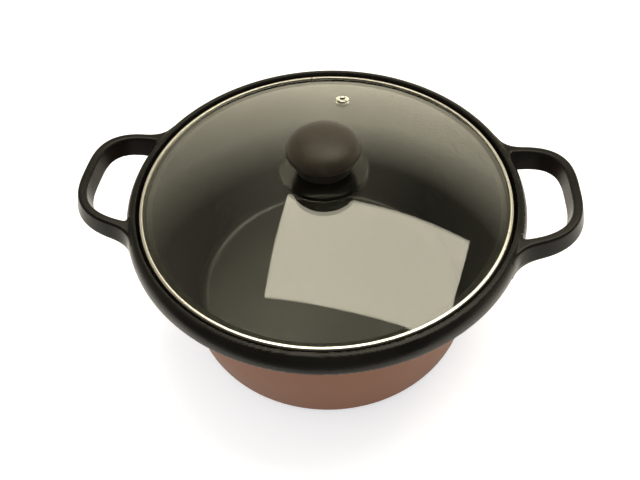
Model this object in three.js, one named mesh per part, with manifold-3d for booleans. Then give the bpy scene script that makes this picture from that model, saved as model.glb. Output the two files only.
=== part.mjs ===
// Two-handled fondue and casserole pot with a domed glass lid.
// Millimetres, +Z up. The origin is the centre of the foot, on the table, and +X runs through the handles.
import * as THREE from 'three';
import { mergeVertices } from 'three/addons/utils/BufferGeometryUtils.js';
import Module from 'manifold-3d';

const wasm = await Module();
wasm.setup();

// Clearance left between pieces that touch
const FIT = 0.3;

// Pot vessel
const POT_HEIGHT = 116.7;
const WALL_TOP_RADIUS = 114.8;
const WALL_FOOT_RADIUS = 103.8;
const WALL = 3.2;
const FLOOR = 5;
const FOOT_ROUND = 9;
const INNER_ROUND = 8;
const FLANGE_THICKNESS = 2.7;
const FLANGE_SIDE_GAP = 0.5;
const MOUTH_ROUND = 1.5;

// Steel disc let into the underside
const BASE_DISC_RADIUS = 78;
const BASE_DISC_THICKNESS = 1;
const BASE_DISC_INSET = 0.3;
const BASE_RIB_RADIUS = 52;
const BASE_RIB_WIDTH = 4;
const BASE_RIB_DEPTH = 0.4;

// Black rim ring that carries both handles
const LID_SUNK = 1.5;
const LID_SIDE_GAP = 3.2;
const LIP_WIDTH = 2.8;
const LIP_ROUND = 0.6;
const BAND_HEIGHT = 10.8;
const BAND_FLARE = 3.2;
const BAND_BULGE = 0.5;
const BAND_ROUND = 1.2;
const BAND_ROUND_START_DEG = -70;
const SHELF_THICKNESS = 4.2;

// Loop handles
const HANDLE_REACH = 156.2;
const HANDLE_HALF_SPAN = 40.5;
const HANDLE_SQUARENESS = 3.05;
const HANDLE_ROOT_HEIGHT = 15;
const HANDLE_END_HEIGHT = 12.3;
const HANDLE_TOP_WIDTH = 5.1;
const HANDLE_OUTER_DRAFT = 1.7;
const HANDLE_INNER_DRAFT = 3.4;
const HANDLE_EDGE = 1;
const HANDLE_TILT = THREE.MathUtils.degToRad(11.4);
const HANDLE_DROP = 0.2;
const ROOT_DEPTH = 6;
const ROOT_FILLET = 11;
const ROOT_FILLET_LENGTH = 22;
const HANDLE_STEPS = 34;

// Screws that hold the rim ring to the vessel, from below
const RING_SCREW_ANGLE = THREE.MathUtils.degToRad(21);
const RING_SCREW_INSET = 3.1;
const BOSS_RADIUS = 2.6;
const RING_SCREW_RADIUS = 1.3;
const RING_SCREW_HEAD_RADIUS = 3.2;
const RING_SCREW_HEAD_HEIGHT = 1.8;
const BOSS_FLOOR = 1;
const HEAD_TAPER = 0.72;

// Glass lid and its steel band
const LID_RADIUS = 120;
const DOME_RISE = 16.5;
const GLASS_THICKNESS = 4;
const BAND_SHEET = 0.8;
const BAND_TOP_WIDTH = 2.5;
const BAND_BOTTOM_WIDTH = 3.2;
const STEEL_ROUND = 1.6;
const SEAM_WIDTH = 0.5;
const SEAM_ANGLE = THREE.MathUtils.degToRad(99.8);
const SEAM_CUT_DEPTH = 30;
const SEAM_CUT_HEIGHT = 60;

// Steam vent
const VENT_RADIUS = 80;
const VENT_ANGLE = THREE.MathUtils.degToRad(85.6);
const VENT_BORE = 1.9;
const EYELET_SHEET = 0.8;
const EYELET_FLANGE = 4.7;
const EYELET_BEAD = 0.9;
const BORE_OVERRUN = 4;

// Knob
const PAD_RADIUS = 28.5;
const PAD_THICKNESS = 0.8;
const FOOT_RADIUS = 18.5;
const FOOT_TOP_RADIUS = 17.2;
const FOOT_STANDOFF = 2.7;
const FOOT_HEIGHT = 9.2;
const FOOT_BOSS_RADIUS = 9;
const FOOT_RECESS_DEPTH = 5;
const FOOT_SKIRT = 2.4;
const SPIGOT_RADIUS = 12;
const SPIGOT_HEIGHT = 5;
const CAP_RADIUS = 23.1;
const CAP_UNDER_HEIGHT = 2.4;
const CAP_DOME_HEIGHT = 10.3;
const CAP_SQUARENESS = 2.3;
const CAP_UNDER_RADIUS = 18.4;

// Knob fixing
const KNOB_SCREW_RADIUS = 2;
const KNOB_SCREW_HEAD_RADIUS = 4.2;
const KNOB_SCREW_HEAD_HEIGHT = 2.6;
const KNOB_SCREW_GRIP = 9;
const INSERT_WALL = 2;
const INSERT_LENGTH = 11;
const INSERT_COLLAR = 1;
const INSERT_COLLAR_HEIGHT = 2;
const WASHER_RADIUS = 8;
const WASHER_THICKNESS = 1;
const GASKET_RADIUS = 9.5;
const GASKET_THICKNESS = 1.2;

// Facets round a full turn
const LARGE_FACETS = 60;
const SMALL_FACETS = 30;
const SCREW_FACETS = 16;

// Straight steps along the curves of a section
const EDGE_STEPS = 2;
const ROUND_STEPS = 3;
const INNER_STEPS = 4;
const FOOT_STEPS = 5;
const DOME_STEPS = 6;
const CAP_STEPS = 8;

// Colour, roughness and metalness of each finish
const FINISH = {
  mauve: [0x82604f, 0.45, 0.2],
  blackPlastic: [0x1a1916, 0.5, 0.05],
  greyPlastic: [0x2b2926, 0.5, 0],
  brownPlastic: [0x4f463c, 0.55, 0],
  glass: [0x8b8f86, 0.05, 0],
  clearPad: [0xd8d8cf, 0.25, 0],
  rubber: [0x33312e, 0.8, 0],
  steel: [0xb8b6b0, 0.3, 1],
  brightSteel: [0xc9c6bd, 0.2, 1],
  brass: [0xb08d4a, 0.3, 1],
};

// Heights that follow from the sizes above
const lidTop = POT_HEIGHT - LID_SUNK;
const glassEdgeTop = lidTop - BAND_SHEET - FIT;
const glassRadius = LID_RADIUS - BAND_SHEET - FIT;
const domeRadius = LID_RADIUS - BAND_TOP_WIDTH;
const domeHeight = DOME_RISE + BAND_SHEET + FIT;
const sphereRadius = (domeRadius ** 2 + domeHeight ** 2) / (2 * domeHeight);
const domeTop = lidTop + DOME_RISE;
const sphereZ = domeTop - sphereRadius;
const domeAngle = Math.asin(domeRadius / sphereRadius);
const glassEdgeBottom = glassEdgeTop - GLASS_THICKNESS * Math.cos(domeAngle);
const lidBottom = glassEdgeBottom - FIT - BAND_SHEET;
const flangeTop = lidBottom - FIT;
const flangeBottom = flangeTop - FLANGE_THICKNESS;
const shelfTop = flangeBottom - FIT;
const ringBottom = shelfTop - SHELF_THICKNESS;
const lipRadius = LID_RADIUS + LID_SIDE_GAP;
const flangeRadius = lipRadius - FLANGE_SIDE_GAP;
const bandTopRadius = lipRadius + LIP_WIDTH;
const bandLowRadius = bandTopRadius + BAND_FLARE;
const bandLow = POT_HEIGHT - BAND_HEIGHT;

// Profile points are [radius, height] pairs, listed anticlockwise round the section.
const point = (r, z) => new THREE.Vector2(r, z);

function arc(centreR, centreZ, radius, fromDeg, toDeg, steps) {
  const points = [];
  for (let i = 0; i <= steps; i++) {
    const a = THREE.MathUtils.degToRad(fromDeg + ((toDeg - fromDeg) * i) / steps);
    points.push(point(centreR + radius * Math.cos(a), centreZ + radius * Math.sin(a)));
  }
  return points;
}

// Points on a circle round the lid's sphere centre, from one distance off the axis to another
function domeArc(radius, fromR, toR, steps) {
  const points = [];
  for (let i = 0; i <= steps; i++) {
    const r = fromR + ((toR - fromR) * i) / steps;
    points.push(point(r, sphereZ + Math.sqrt(radius ** 2 - r ** 2)));
  }
  return points;
}

function cleaned(geometry) {
  geometry.deleteAttribute('normal');
  geometry.deleteAttribute('uv');
  const merged = mergeVertices(geometry, 1e-4);
  const old = merged.index.array;
  const kept = [];
  for (let i = 0; i < old.length; i += 3) {
    const [a, b, c] = [old[i], old[i + 1], old[i + 2]];
    if (a !== b && b !== c && c !== a) kept.push(a, b, c);
  }
  merged.setIndex(kept);
  return merged;
}

// A section turned round the Z axis
function revolve(profile, facets) {
  const closed = profile[0].x > 0 || profile[profile.length - 1].x > 0;
  const points = closed ? [...profile, profile[0].clone()] : profile;
  const geometry = new THREE.LatheGeometry(points, facets);
  geometry.rotateX(Math.PI / 2);
  return cleaned(geometry);
}

function cylinder(radius, bottom, top, facets) {
  return revolve([point(0, bottom), point(radius, bottom), point(radius, top), point(0, top)], facets);
}

function solid(geometry) {
  return new wasm.Manifold(new wasm.Mesh({
    numProp: 3,
    vertProperties: new Float32Array(geometry.attributes.position.array),
    triVerts: new Uint32Array(geometry.index.array),
  }));
}

function geometryOf(body) {
  const mesh = body.getMesh();
  const geometry = new THREE.BufferGeometry();
  geometry.setAttribute('position', new THREE.BufferAttribute(mesh.vertProperties, 3));
  geometry.setIndex(new THREE.BufferAttribute(mesh.triVerts, 1));
  return geometry;
}

const part = new THREE.Group();

function addPiece(name, geometry, finish, parent = part) {
  const [color, roughness, metalness] = finish;
  const material = new THREE.MeshStandardMaterial({ color, roughness, metalness });
  const mesh = new THREE.Mesh(geometry, material);
  mesh.name = name;
  parent.add(mesh);
}

// Where the four ring screws stand, as positions in the plan
const ringScrewRadius = flangeRadius - RING_SCREW_INSET;
const ringScrewPlaces = [];
for (const side of [0, Math.PI]) {
  for (const turn of [-RING_SCREW_ANGLE, RING_SCREW_ANGLE]) {
    const a = side + turn;
    ringScrewPlaces.push([ringScrewRadius * Math.cos(a), ringScrewRadius * Math.sin(a)]);
  }
}

// Vessel: a tapered cup with a rounded foot and a flange that the lid rests on
const wallSlope = (WALL_TOP_RADIUS - WALL_FOOT_RADIUS) / flangeBottom;
const wallAngle = THREE.MathUtils.radToDeg(Math.atan(wallSlope));
const wallCos = Math.cos(Math.atan(wallSlope));
const wallRadius = (z) => WALL_FOOT_RADIUS + wallSlope * z;
const innerRadius = (z) => wallRadius(z) - WALL / wallCos;
const footCentre = wallRadius(FOOT_ROUND) - FOOT_ROUND / wallCos;
const innerCentreZ = FLOOR + INNER_ROUND;
const innerCentre = innerRadius(innerCentreZ) - INNER_ROUND / wallCos;
const mouthCentre = innerRadius(flangeTop) + MOUTH_ROUND;
const recessDepth = BASE_DISC_INSET + BASE_DISC_THICKNESS + FIT;
const recessRadius = BASE_DISC_RADIUS + FIT;
const vesselProfile = [
  point(0, recessDepth),
  point(recessRadius, recessDepth),
  point(recessRadius, 0),
  ...arc(footCentre, FOOT_ROUND, FOOT_ROUND, -90, -wallAngle, FOOT_STEPS),
  point(WALL_TOP_RADIUS, flangeBottom),
  point(flangeRadius, flangeBottom),
  point(flangeRadius, flangeTop),
  ...arc(mouthCentre, flangeTop - MOUTH_ROUND, MOUTH_ROUND, 90, 180 - wallAngle, ROUND_STEPS),
  ...arc(innerCentre, innerCentreZ, INNER_ROUND, -wallAngle, -90, INNER_STEPS),
  point(0, FLOOR),
];
let vessel = solid(revolve(vesselProfile, LARGE_FACETS));
const bossBottom = ringBottom + FIT;
const bossHoleTop = flangeBottom - BOSS_FLOOR;
for (const [x, y] of ringScrewPlaces) {
  const boss = cylinder(BOSS_RADIUS, bossBottom, flangeBottom + BOSS_FLOOR, SCREW_FACETS);
  const hole = cylinder(RING_SCREW_RADIUS + FIT, bossBottom - FIT, bossHoleTop, SCREW_FACETS);
  vessel = vessel.add(solid(boss.translate(x, y, 0)));
  vessel = vessel.subtract(solid(hole.translate(x, y, 0)));
}
addPiece('pot_vessel', geometryOf(vessel), FINISH.mauve);

// Steel disc let into the underside, with one pressed rib
const discBottom = BASE_DISC_INSET;
const discTop = BASE_DISC_INSET + BASE_DISC_THICKNESS;
addPiece('base_disc', revolve([
  point(0, discBottom),
  point(BASE_RIB_RADIUS - BASE_RIB_WIDTH, discBottom),
  point(BASE_RIB_RADIUS - BASE_RIB_WIDTH / 2, discBottom + BASE_RIB_DEPTH),
  point(BASE_RIB_RADIUS + BASE_RIB_WIDTH / 2, discBottom + BASE_RIB_DEPTH),
  point(BASE_RIB_RADIUS + BASE_RIB_WIDTH, discBottom),
  point(BASE_DISC_RADIUS, discBottom),
  point(BASE_DISC_RADIUS, discTop),
  point(0, discTop),
], LARGE_FACETS), FINISH.steel);

// Rim ring: a lip round the lid, a flared outer band and a shelf under the vessel's flange
const shelfRadius = WALL_TOP_RADIUS + FIT + FLANGE_SIDE_GAP;
const bandMiddle = (POT_HEIGHT + bandLow) / 2;
const ringProfile = [
  point(shelfRadius, ringBottom),
  point(lipRadius, ringBottom),
  ...arc(bandLowRadius - BAND_ROUND, bandLow, BAND_ROUND, BAND_ROUND_START_DEG, 0, ROUND_STEPS),
  point((bandTopRadius + bandLowRadius) / 2 + BAND_BULGE, bandMiddle),
  ...arc(bandTopRadius - LIP_ROUND, POT_HEIGHT - LIP_ROUND, LIP_ROUND, 0, 90, EDGE_STEPS),
  ...arc(lipRadius + LIP_ROUND, POT_HEIGHT - LIP_ROUND, LIP_ROUND, 90, 180, EDGE_STEPS),
  point(lipRadius, shelfTop),
  point(shelfRadius, shelfTop),
];

// Handle loop: a tapered bar lofted along a squarish half round, wider where it meets the band
const barHalf = HANDLE_TOP_WIDTH / 2;
const loopStart = Math.sqrt((lipRadius - ROOT_DEPTH) ** 2 - HANDLE_HALF_SPAN ** 2);
const loopDepth = HANDLE_REACH - loopStart;
const loopPivot = Math.sqrt(bandTopRadius ** 2 - HANDLE_HALF_SPAN ** 2);
const barTaper = (HANDLE_ROOT_HEIGHT - HANDLE_END_HEIGHT) / (HANDLE_REACH - loopPivot);

function loopPlan(t) {
  const a = -Math.PI / 2 + Math.PI * t;
  const power = 2 / HANDLE_SQUARENESS;
  const u = loopStart + loopDepth * Math.abs(Math.cos(a)) ** power;
  const v = HANDLE_HALF_SPAN * Math.sign(Math.sin(a)) * Math.abs(Math.sin(a)) ** power;
  return new THREE.Vector2(u, v);
}

function barSection(flare, height) {
  const low = -height;
  const outer = barHalf + flare;
  return [
    point(-outer + HANDLE_EDGE, 0),
    point(-outer, -HANDLE_EDGE),
    point(-outer - HANDLE_INNER_DRAFT, low + HANDLE_EDGE),
    point(-outer - HANDLE_INNER_DRAFT + HANDLE_EDGE, low),
    point(outer + HANDLE_OUTER_DRAFT - HANDLE_EDGE, low),
    point(outer + HANDLE_OUTER_DRAFT, low + HANDLE_EDGE),
    point(outer, -HANDLE_EDGE),
    point(outer - HANDLE_EDGE, 0),
  ];
}

function handleLoop() {
  const stations = [];
  for (let i = 0; i <= HANDLE_STEPS; i++) {
    const middle = loopPlan(i / HANDLE_STEPS);
    const ahead = loopPlan(Math.min(1, (i + 0.5) / HANDLE_STEPS));
    const behind = loopPlan(Math.max(0, (i - 0.5) / HANDLE_STEPS));
    const along = ahead.sub(behind).normalize();
    const away = middle.x - loopStart;
    const flare = away < ROOT_FILLET_LENGTH ? ROOT_FILLET * (1 - away / ROOT_FILLET_LENGTH) ** 2 : 0;
    const height = HANDLE_ROOT_HEIGHT - barTaper * Math.max(0, middle.x - loopPivot);
    const section = barSection(flare, height);
    stations.push(section.map((p) => [middle.x + along.y * p.x, middle.y - along.x * p.x, p.y]));
  }
  const count = stations[0].length;
  const index = [];
  for (let s = 0; s < HANDLE_STEPS; s++) {
    for (let k = 0; k < count; k++) {
      const [a, b] = [s * count + k, s * count + ((k + 1) % count)];
      index.push(a, b + count, b, a, a + count, b + count);
    }
  }
  const last = HANDLE_STEPS * count;
  for (let k = 1; k < count - 1; k++) {
    index.push(0, k, k + 1);
    index.push(last, last + k + 1, last + k);
  }
  const geometry = new THREE.BufferGeometry();
  geometry.setAttribute('position', new THREE.Float32BufferAttribute(stations.flat(2), 3));
  geometry.setIndex(index);
  geometry.translate(-loopPivot, 0, 0);
  geometry.rotateY(-HANDLE_TILT);
  geometry.translate(loopPivot, 0, POT_HEIGHT - HANDLE_DROP);
  return geometry;
}

let ring = solid(revolve(ringProfile, LARGE_FACETS));
const lipCore = solid(cylinder(lipRadius + LIP_ROUND, 0, 2 * POT_HEIGHT, LARGE_FACETS));
for (const side of [0, Math.PI]) {
  const loop = solid(handleLoop().rotateZ(side)).subtract(lipCore);
  ring = ring.add(loop);
}
for (const [x, y] of ringScrewPlaces) {
  const hole = cylinder(BOSS_RADIUS + FIT, ringBottom - FIT, shelfTop + FIT, SCREW_FACETS);
  ring = ring.subtract(solid(hole.translate(x, y, 0)));
}
addPiece('rim_handle_ring', geometryOf(ring), FINISH.blackPlastic);

// Ring screws: pan heads under the shelf, shanks up into the vessel's bosses
const ringHeadTop = ringBottom - FIT;
const ringHeadBottom = ringHeadTop - RING_SCREW_HEAD_HEIGHT;
const ringScrewProfile = [
  point(0, ringHeadBottom),
  point(RING_SCREW_HEAD_RADIUS * HEAD_TAPER, ringHeadBottom),
  point(RING_SCREW_HEAD_RADIUS, ringHeadBottom + RING_SCREW_HEAD_HEIGHT / 2),
  point(RING_SCREW_HEAD_RADIUS, ringHeadTop),
  point(RING_SCREW_RADIUS, ringHeadTop),
  point(RING_SCREW_RADIUS, bossHoleTop - FIT),
  point(0, bossHoleTop - FIT),
];
ringScrewPlaces.forEach(([x, y], i) => {
  const screw = revolve(ringScrewProfile, SCREW_FACETS).translate(x, y, 0);
  addPiece(`ring_screw_${i + 1}`, screw, FINISH.steel);
});

// Lid glass: a spherical dome with a flat edge, bored for the knob screw and the steam vent
const lid = new THREE.Group();
part.add(lid);
const lowerDomeEdge = domeRadius * (1 - GLASS_THICKNESS / sphereRadius);
const glassProfile = [
  ...domeArc(sphereRadius - GLASS_THICKNESS, 0, lowerDomeEdge, DOME_STEPS),
  point(glassRadius, glassEdgeBottom),
  point(glassRadius, glassEdgeTop),
  ...domeArc(sphereRadius, domeRadius, 0, DOME_STEPS),
];
const ventAngle = Math.asin(VENT_RADIUS / sphereRadius);
const eyeletRadius = VENT_BORE + EYELET_SHEET;

// Turns a shape that stands on the lid's axis, measured from the sphere's centre, round to the vent
function atVent(geometry) {
  return geometry.rotateY(ventAngle).rotateZ(VENT_ANGLE).translate(0, 0, sphereZ);
}

const boreDepth = GLASS_THICKNESS + BORE_OVERRUN;
const ventBore = eyeletRadius + FIT;
const knobBore = KNOB_SCREW_RADIUS + FIT;
const ventHole = cylinder(ventBore, sphereRadius - boreDepth, sphereRadius + BORE_OVERRUN, SCREW_FACETS);
const knobHole = cylinder(knobBore, domeTop - boreDepth, domeTop + BORE_OVERRUN, SCREW_FACETS);
const glass = solid(revolve(glassProfile, LARGE_FACETS))
  .subtract(solid(atVent(ventHole)))
  .subtract(solid(knobHole));
addPiece('lid_glass', geometryOf(glass), FINISH.glass, lid);

// Steel band folded round the glass edge, with its butt seam left open
const bandOuter = arc(LID_RADIUS - STEEL_ROUND, lidTop - STEEL_ROUND, STEEL_ROUND, 0, 90, ROUND_STEPS);
const bandInner = LID_RADIUS - BAND_SHEET;
const steelProfile = [
  point(LID_RADIUS - BAND_BOTTOM_WIDTH, lidBottom),
  point(LID_RADIUS - BAND_SHEET, lidBottom),
  point(LID_RADIUS, lidBottom + BAND_SHEET),
  ...bandOuter,
  point(LID_RADIUS - BAND_TOP_WIDTH, lidTop - BAND_SHEET / 2),
  point(LID_RADIUS - BAND_TOP_WIDTH, lidTop - BAND_SHEET),
  point(bandInner, lidTop - BAND_SHEET),
  point(bandInner, lidBottom + BAND_SHEET),
  point(LID_RADIUS - BAND_BOTTOM_WIDTH, lidBottom + BAND_SHEET),
];
const seamBox = new THREE.BoxGeometry(SEAM_CUT_DEPTH, SEAM_WIDTH, SEAM_CUT_HEIGHT);
const seam = cleaned(seamBox.translate(LID_RADIUS, 0, lidTop).rotateZ(SEAM_ANGLE));
const steelBand = solid(revolve(steelProfile, LARGE_FACETS)).subtract(solid(seam));
addPiece('lid_steel_band', geometryOf(steelBand), FINISH.brightSteel, lid);

// Vent eyelet: a steel tube rolled over both faces of the glass
const eyeletTop = sphereRadius + FIT;
const eyeletBottom = sphereRadius - GLASS_THICKNESS - FIT;
const eyelet = revolve([
  point(VENT_BORE, eyeletBottom - EYELET_BEAD / 2),
  point(eyeletRadius + EYELET_BEAD / 2, eyeletBottom - EYELET_BEAD),
  point(EYELET_FLANGE, eyeletBottom - EYELET_BEAD / 2),
  point(EYELET_FLANGE, eyeletBottom),
  point(eyeletRadius, eyeletBottom),
  point(eyeletRadius, eyeletTop),
  point(EYELET_FLANGE, eyeletTop),
  point(EYELET_FLANGE, eyeletTop + EYELET_BEAD / 2),
  point(eyeletRadius + EYELET_BEAD / 2, eyeletTop + EYELET_BEAD),
  point(VENT_BORE, eyeletTop + EYELET_BEAD / 2),
], SCREW_FACETS);
addPiece('vent_eyelet', atVent(eyelet), FINISH.brightSteel, lid);

// Clear pad under the knob, dished to the dome
const padLow = sphereRadius + FIT;
const padHigh = padLow + PAD_THICKNESS;
addPiece('knob_pad', revolve([
  ...domeArc(padLow, knobBore, PAD_RADIUS, ROUND_STEPS),
  ...domeArc(padHigh, PAD_RADIUS, knobBore, ROUND_STEPS),
], SMALL_FACETS), FINISH.clearPad, lid);

// Knob foot: a hollow skirt round a boss that stands on the pad, with a spigot for the cap
const bossSeat = sphereZ + padHigh + FIT;
const footLow = bossSeat + FOOT_STANDOFF;
const footTop = footLow + FOOT_HEIGHT;
const insertRadius = knobBore + INSERT_WALL;
const insertCollarRadius = insertRadius + INSERT_COLLAR;
const insertLow = bossSeat;
const insertTop = insertLow + INSERT_LENGTH;
const spigotTop = footTop + SPIGOT_HEIGHT;
const footRound = FOOT_SKIRT / 2;
addPiece('knob_foot', revolve([
  point(insertRadius + FIT, bossSeat),
  point(FOOT_BOSS_RADIUS, bossSeat),
  point(FOOT_BOSS_RADIUS, footLow + FOOT_RECESS_DEPTH),
  point(FOOT_RADIUS - FOOT_SKIRT, footLow + FOOT_RECESS_DEPTH),
  point(FOOT_RADIUS - FOOT_SKIRT, footLow),
  ...arc(FOOT_RADIUS - footRound, footLow + footRound, footRound, -90, 0, ROUND_STEPS),
  point(FOOT_TOP_RADIUS, footTop),
  point(SPIGOT_RADIUS, footTop),
  point(SPIGOT_RADIUS, spigotTop),
  point(insertCollarRadius + FIT, spigotTop),
  point(insertCollarRadius + FIT, insertTop - INSERT_COLLAR_HEIGHT - FIT),
  point(insertRadius + FIT, insertTop - INSERT_COLLAR_HEIGHT - FIT),
], SMALL_FACETS), FINISH.greyPlastic, lid);

// Knob cap: a flattened dome with a rounded rim and a socket for the spigot
const capUnder = footTop + FIT;
const capRim = capUnder + CAP_UNDER_HEIGHT;
const capDome = [];
for (let i = 0; i <= CAP_STEPS; i++) {
  const a = (Math.PI / 2) * (i / CAP_STEPS);
  const r = CAP_RADIUS * Math.cos(a) ** (2 / CAP_SQUARENESS);
  const z = capRim + CAP_DOME_HEIGHT * Math.sin(a) ** (2 / CAP_SQUARENESS);
  capDome.push(point(i === CAP_STEPS ? 0 : r, z));
}
const rimRound = CAP_RADIUS - CAP_UNDER_RADIUS;
const capRimCurve = [];
for (let i = 1; i <= ROUND_STEPS; i++) {
  const a = (Math.PI / 2) * (i / (ROUND_STEPS + 1) - 1);
  const r = CAP_UNDER_RADIUS + rimRound * Math.cos(a);
  capRimCurve.push(point(r, capRim + CAP_UNDER_HEIGHT * Math.sin(a)));
}
addPiece('knob_cap', revolve([
  point(0, spigotTop + FIT),
  point(SPIGOT_RADIUS + FIT, spigotTop + FIT),
  point(SPIGOT_RADIUS + FIT, capUnder),
  point(CAP_UNDER_RADIUS, capUnder),
  ...capRimCurve,
  ...capDome,
], SMALL_FACETS), FINISH.brownPlastic, lid);

// Brass insert moulded into the foot
addPiece('knob_insert', revolve([
  point(knobBore, insertLow),
  point(insertRadius, insertLow),
  point(insertRadius, insertTop - INSERT_COLLAR_HEIGHT),
  point(insertCollarRadius, insertTop - INSERT_COLLAR_HEIGHT),
  point(insertCollarRadius, insertTop),
  point(knobBore, insertTop),
], SCREW_FACETS), FINISH.brass, lid);

// Under the glass: gasket, washer and the knob screw
const gasketTop = domeTop - GLASS_THICKNESS - FIT;
const washerTop = gasketTop - GASKET_THICKNESS - FIT;
const headTop = washerTop - WASHER_THICKNESS - FIT;
const headLow = headTop - KNOB_SCREW_HEAD_HEIGHT;
const gasketDish = sphereRadius - GLASS_THICKNESS - FIT;
addPiece('knob_gasket', revolve([
  point(knobBore, gasketTop - GASKET_THICKNESS),
  point(GASKET_RADIUS, gasketTop - GASKET_THICKNESS),
  ...domeArc(gasketDish, GASKET_RADIUS, knobBore, EDGE_STEPS),
], SMALL_FACETS), FINISH.rubber, lid);
addPiece('knob_washer', revolve([
  point(knobBore, headTop + FIT),
  point(WASHER_RADIUS, headTop + FIT),
  point(WASHER_RADIUS, washerTop),
  point(knobBore, washerTop),
], SMALL_FACETS), FINISH.steel, lid);
addPiece('knob_screw', revolve([
  point(0, headLow),
  point(KNOB_SCREW_HEAD_RADIUS * HEAD_TAPER, headLow),
  point(KNOB_SCREW_HEAD_RADIUS, headLow + KNOB_SCREW_HEAD_HEIGHT / 2),
  point(KNOB_SCREW_HEAD_RADIUS, headTop),
  point(KNOB_SCREW_RADIUS, headTop),
  point(KNOB_SCREW_RADIUS, insertLow + KNOB_SCREW_GRIP),
  point(0, insertLow + KNOB_SCREW_GRIP),
], SCREW_FACETS), FINISH.steel, lid);

export default part;
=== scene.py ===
import math

import bmesh
import bpy
import numpy as np
from mathutils import Matrix, Vector


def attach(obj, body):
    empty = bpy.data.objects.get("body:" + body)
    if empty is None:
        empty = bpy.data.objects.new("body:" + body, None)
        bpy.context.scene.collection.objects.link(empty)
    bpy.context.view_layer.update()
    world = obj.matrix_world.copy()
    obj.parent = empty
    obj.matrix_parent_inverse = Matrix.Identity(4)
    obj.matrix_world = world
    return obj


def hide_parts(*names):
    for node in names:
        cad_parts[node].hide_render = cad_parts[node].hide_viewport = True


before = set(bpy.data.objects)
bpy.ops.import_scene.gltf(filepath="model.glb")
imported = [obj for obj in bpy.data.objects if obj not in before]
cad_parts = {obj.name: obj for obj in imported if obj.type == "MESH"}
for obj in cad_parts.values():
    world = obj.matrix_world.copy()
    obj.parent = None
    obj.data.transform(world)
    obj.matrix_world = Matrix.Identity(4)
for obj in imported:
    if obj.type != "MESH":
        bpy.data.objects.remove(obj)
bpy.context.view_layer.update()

# Pot vessel: one cast aluminium cup with a tapered wall, a rounded foot and a flange for the lid.
# Outside it has a baked mauve coat, inside and on the flange a dark non-stick coat.
# The section is drawn as corners with a round each, and turned about the pot's axis.
MM = 0.001


def section(corners, steps=7):
    """Points of a section whose (radius, height, round) corners are rounded off."""
    points = []
    for i, (r, z, size) in enumerate(corners):
        here = Vector((r, z))
        if size <= 0:
            points.append((r, z))
            continue
        before = (Vector(corners[i - 1][:2]) - here).normalized()
        after = (Vector(corners[(i + 1) % len(corners)][:2]) - here).normalized()
        half = before.angle(after) / 2
        centre = here + (before + after).normalized() * (size / math.sin(half))
        first = here + before * (size / math.tan(half)) - centre
        turn = first.angle_signed(here + after * (size / math.tan(half)) - centre)
        for k in range(steps + 1):
            a = -turn * k / steps
            points.append((
                centre.x + first.x * math.cos(a) - first.y * math.sin(a),
                centre.y + first.x * math.sin(a) + first.y * math.cos(a),
            ))
    return points


def turned(name, points, steps=192, start=0.0, sweep=2 * math.pi, sharp=32):
    """A closed body turned about Z from (radius, height) points in mm, listed anticlockwise."""
    full = abs(sweep - 2 * math.pi) < 1e-6
    rings = steps if full else steps + 1
    angles = [start + sweep * i / steps for i in range(rings)]
    mesh = bmesh.new()
    rows = []
    for r, z in points:
        if r < 1e-6:
            rows.append([mesh.verts.new((0, 0, z * MM))] * rings)
        else:
            spots = [(r * MM * math.cos(a), r * MM * math.sin(a), z * MM) for a in angles]
            rows.append([mesh.verts.new(spot) for spot in spots])
    for k in range(len(rows)):
        low, high = rows[k], rows[(k + 1) % len(rows)]
        if low[0] is low[1] and high[0] is high[1]:
            continue
        for i in range(steps):
            j = (i + 1) % rings
            corners = [low[i], low[j], high[j], high[i]]
            mesh.faces.new(list(dict.fromkeys(corners)))
    if not full:
        mesh.faces.new([row[0] for row in rows])
        mesh.faces.new([row[-1] for row in reversed(rows)])
    return finished(name, mesh, sharp)


def finished(name, mesh, sharp=30):
    """A scene object from a bmesh, smooth but for edges sharper than the given angle."""
    data = bpy.data.meshes.new(name)
    mesh.to_mesh(data)
    mesh.free()
    data.shade_smooth()
    data.set_sharp_from_angle(angle=math.radians(sharp))
    piece = bpy.data.objects.new(name, data)
    bpy.context.scene.collection.objects.link(piece)
    return piece


def finish_of(name):
    """A new material, with its node tree and its Principled shader."""
    material = bpy.data.materials.new(name)
    material.use_nodes = True
    return material, material.node_tree, material.node_tree.nodes["Principled BSDF"]


def add_node(tree, kind, inputs=(), **settings):
    """A node with its settings, and each input set to a value or linked from a socket."""
    node = tree.nodes.new(kind)
    for key, value in settings.items():
        setattr(node, key, value)
    for key, value in dict(inputs).items():
        if isinstance(value, bpy.types.NodeSocket):
            tree.links.new(value, node.inputs[key])
        else:
            node.inputs[key].default_value = value
    return node


def maths(tree, operation, *values):
    """The result of one Math node on values or sockets."""
    return add_node(tree, "ShaderNodeMath", dict(enumerate(values)), operation=operation).outputs[0]


def ramp(tree, value, low, high, start, end):
    """The value carried from low..high over to start..end, and held there outside."""
    return add_node(tree, "ShaderNodeMapRange", {
        "Value": value, "From Min": low, "From Max": high, "To Min": start, "To Max": end,
    }).outputs["Result"]


def blended(tree, share, first, second):
    """A colour between two others."""
    return add_node(
        tree, "ShaderNodeMix", {"Factor": share, 6: first, 7: second}, data_type="RGBA",
    ).outputs[2]


def effect(name, inputs, outputs):
    """An empty shader group with float inputs, and its in and out nodes."""
    group = bpy.data.node_groups.new(name, "ShaderNodeTree")
    for label, value in inputs.items():
        socket = group.interface.new_socket(label, in_out="INPUT", socket_type="NodeSocketFloat")
        socket.default_value = value
    for label in outputs:
        group.interface.new_socket(label, in_out="OUTPUT", socket_type="NodeSocketFloat")
    return group, group.nodes.new("NodeGroupInput"), group.nodes.new("NodeGroupOutput")


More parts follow.
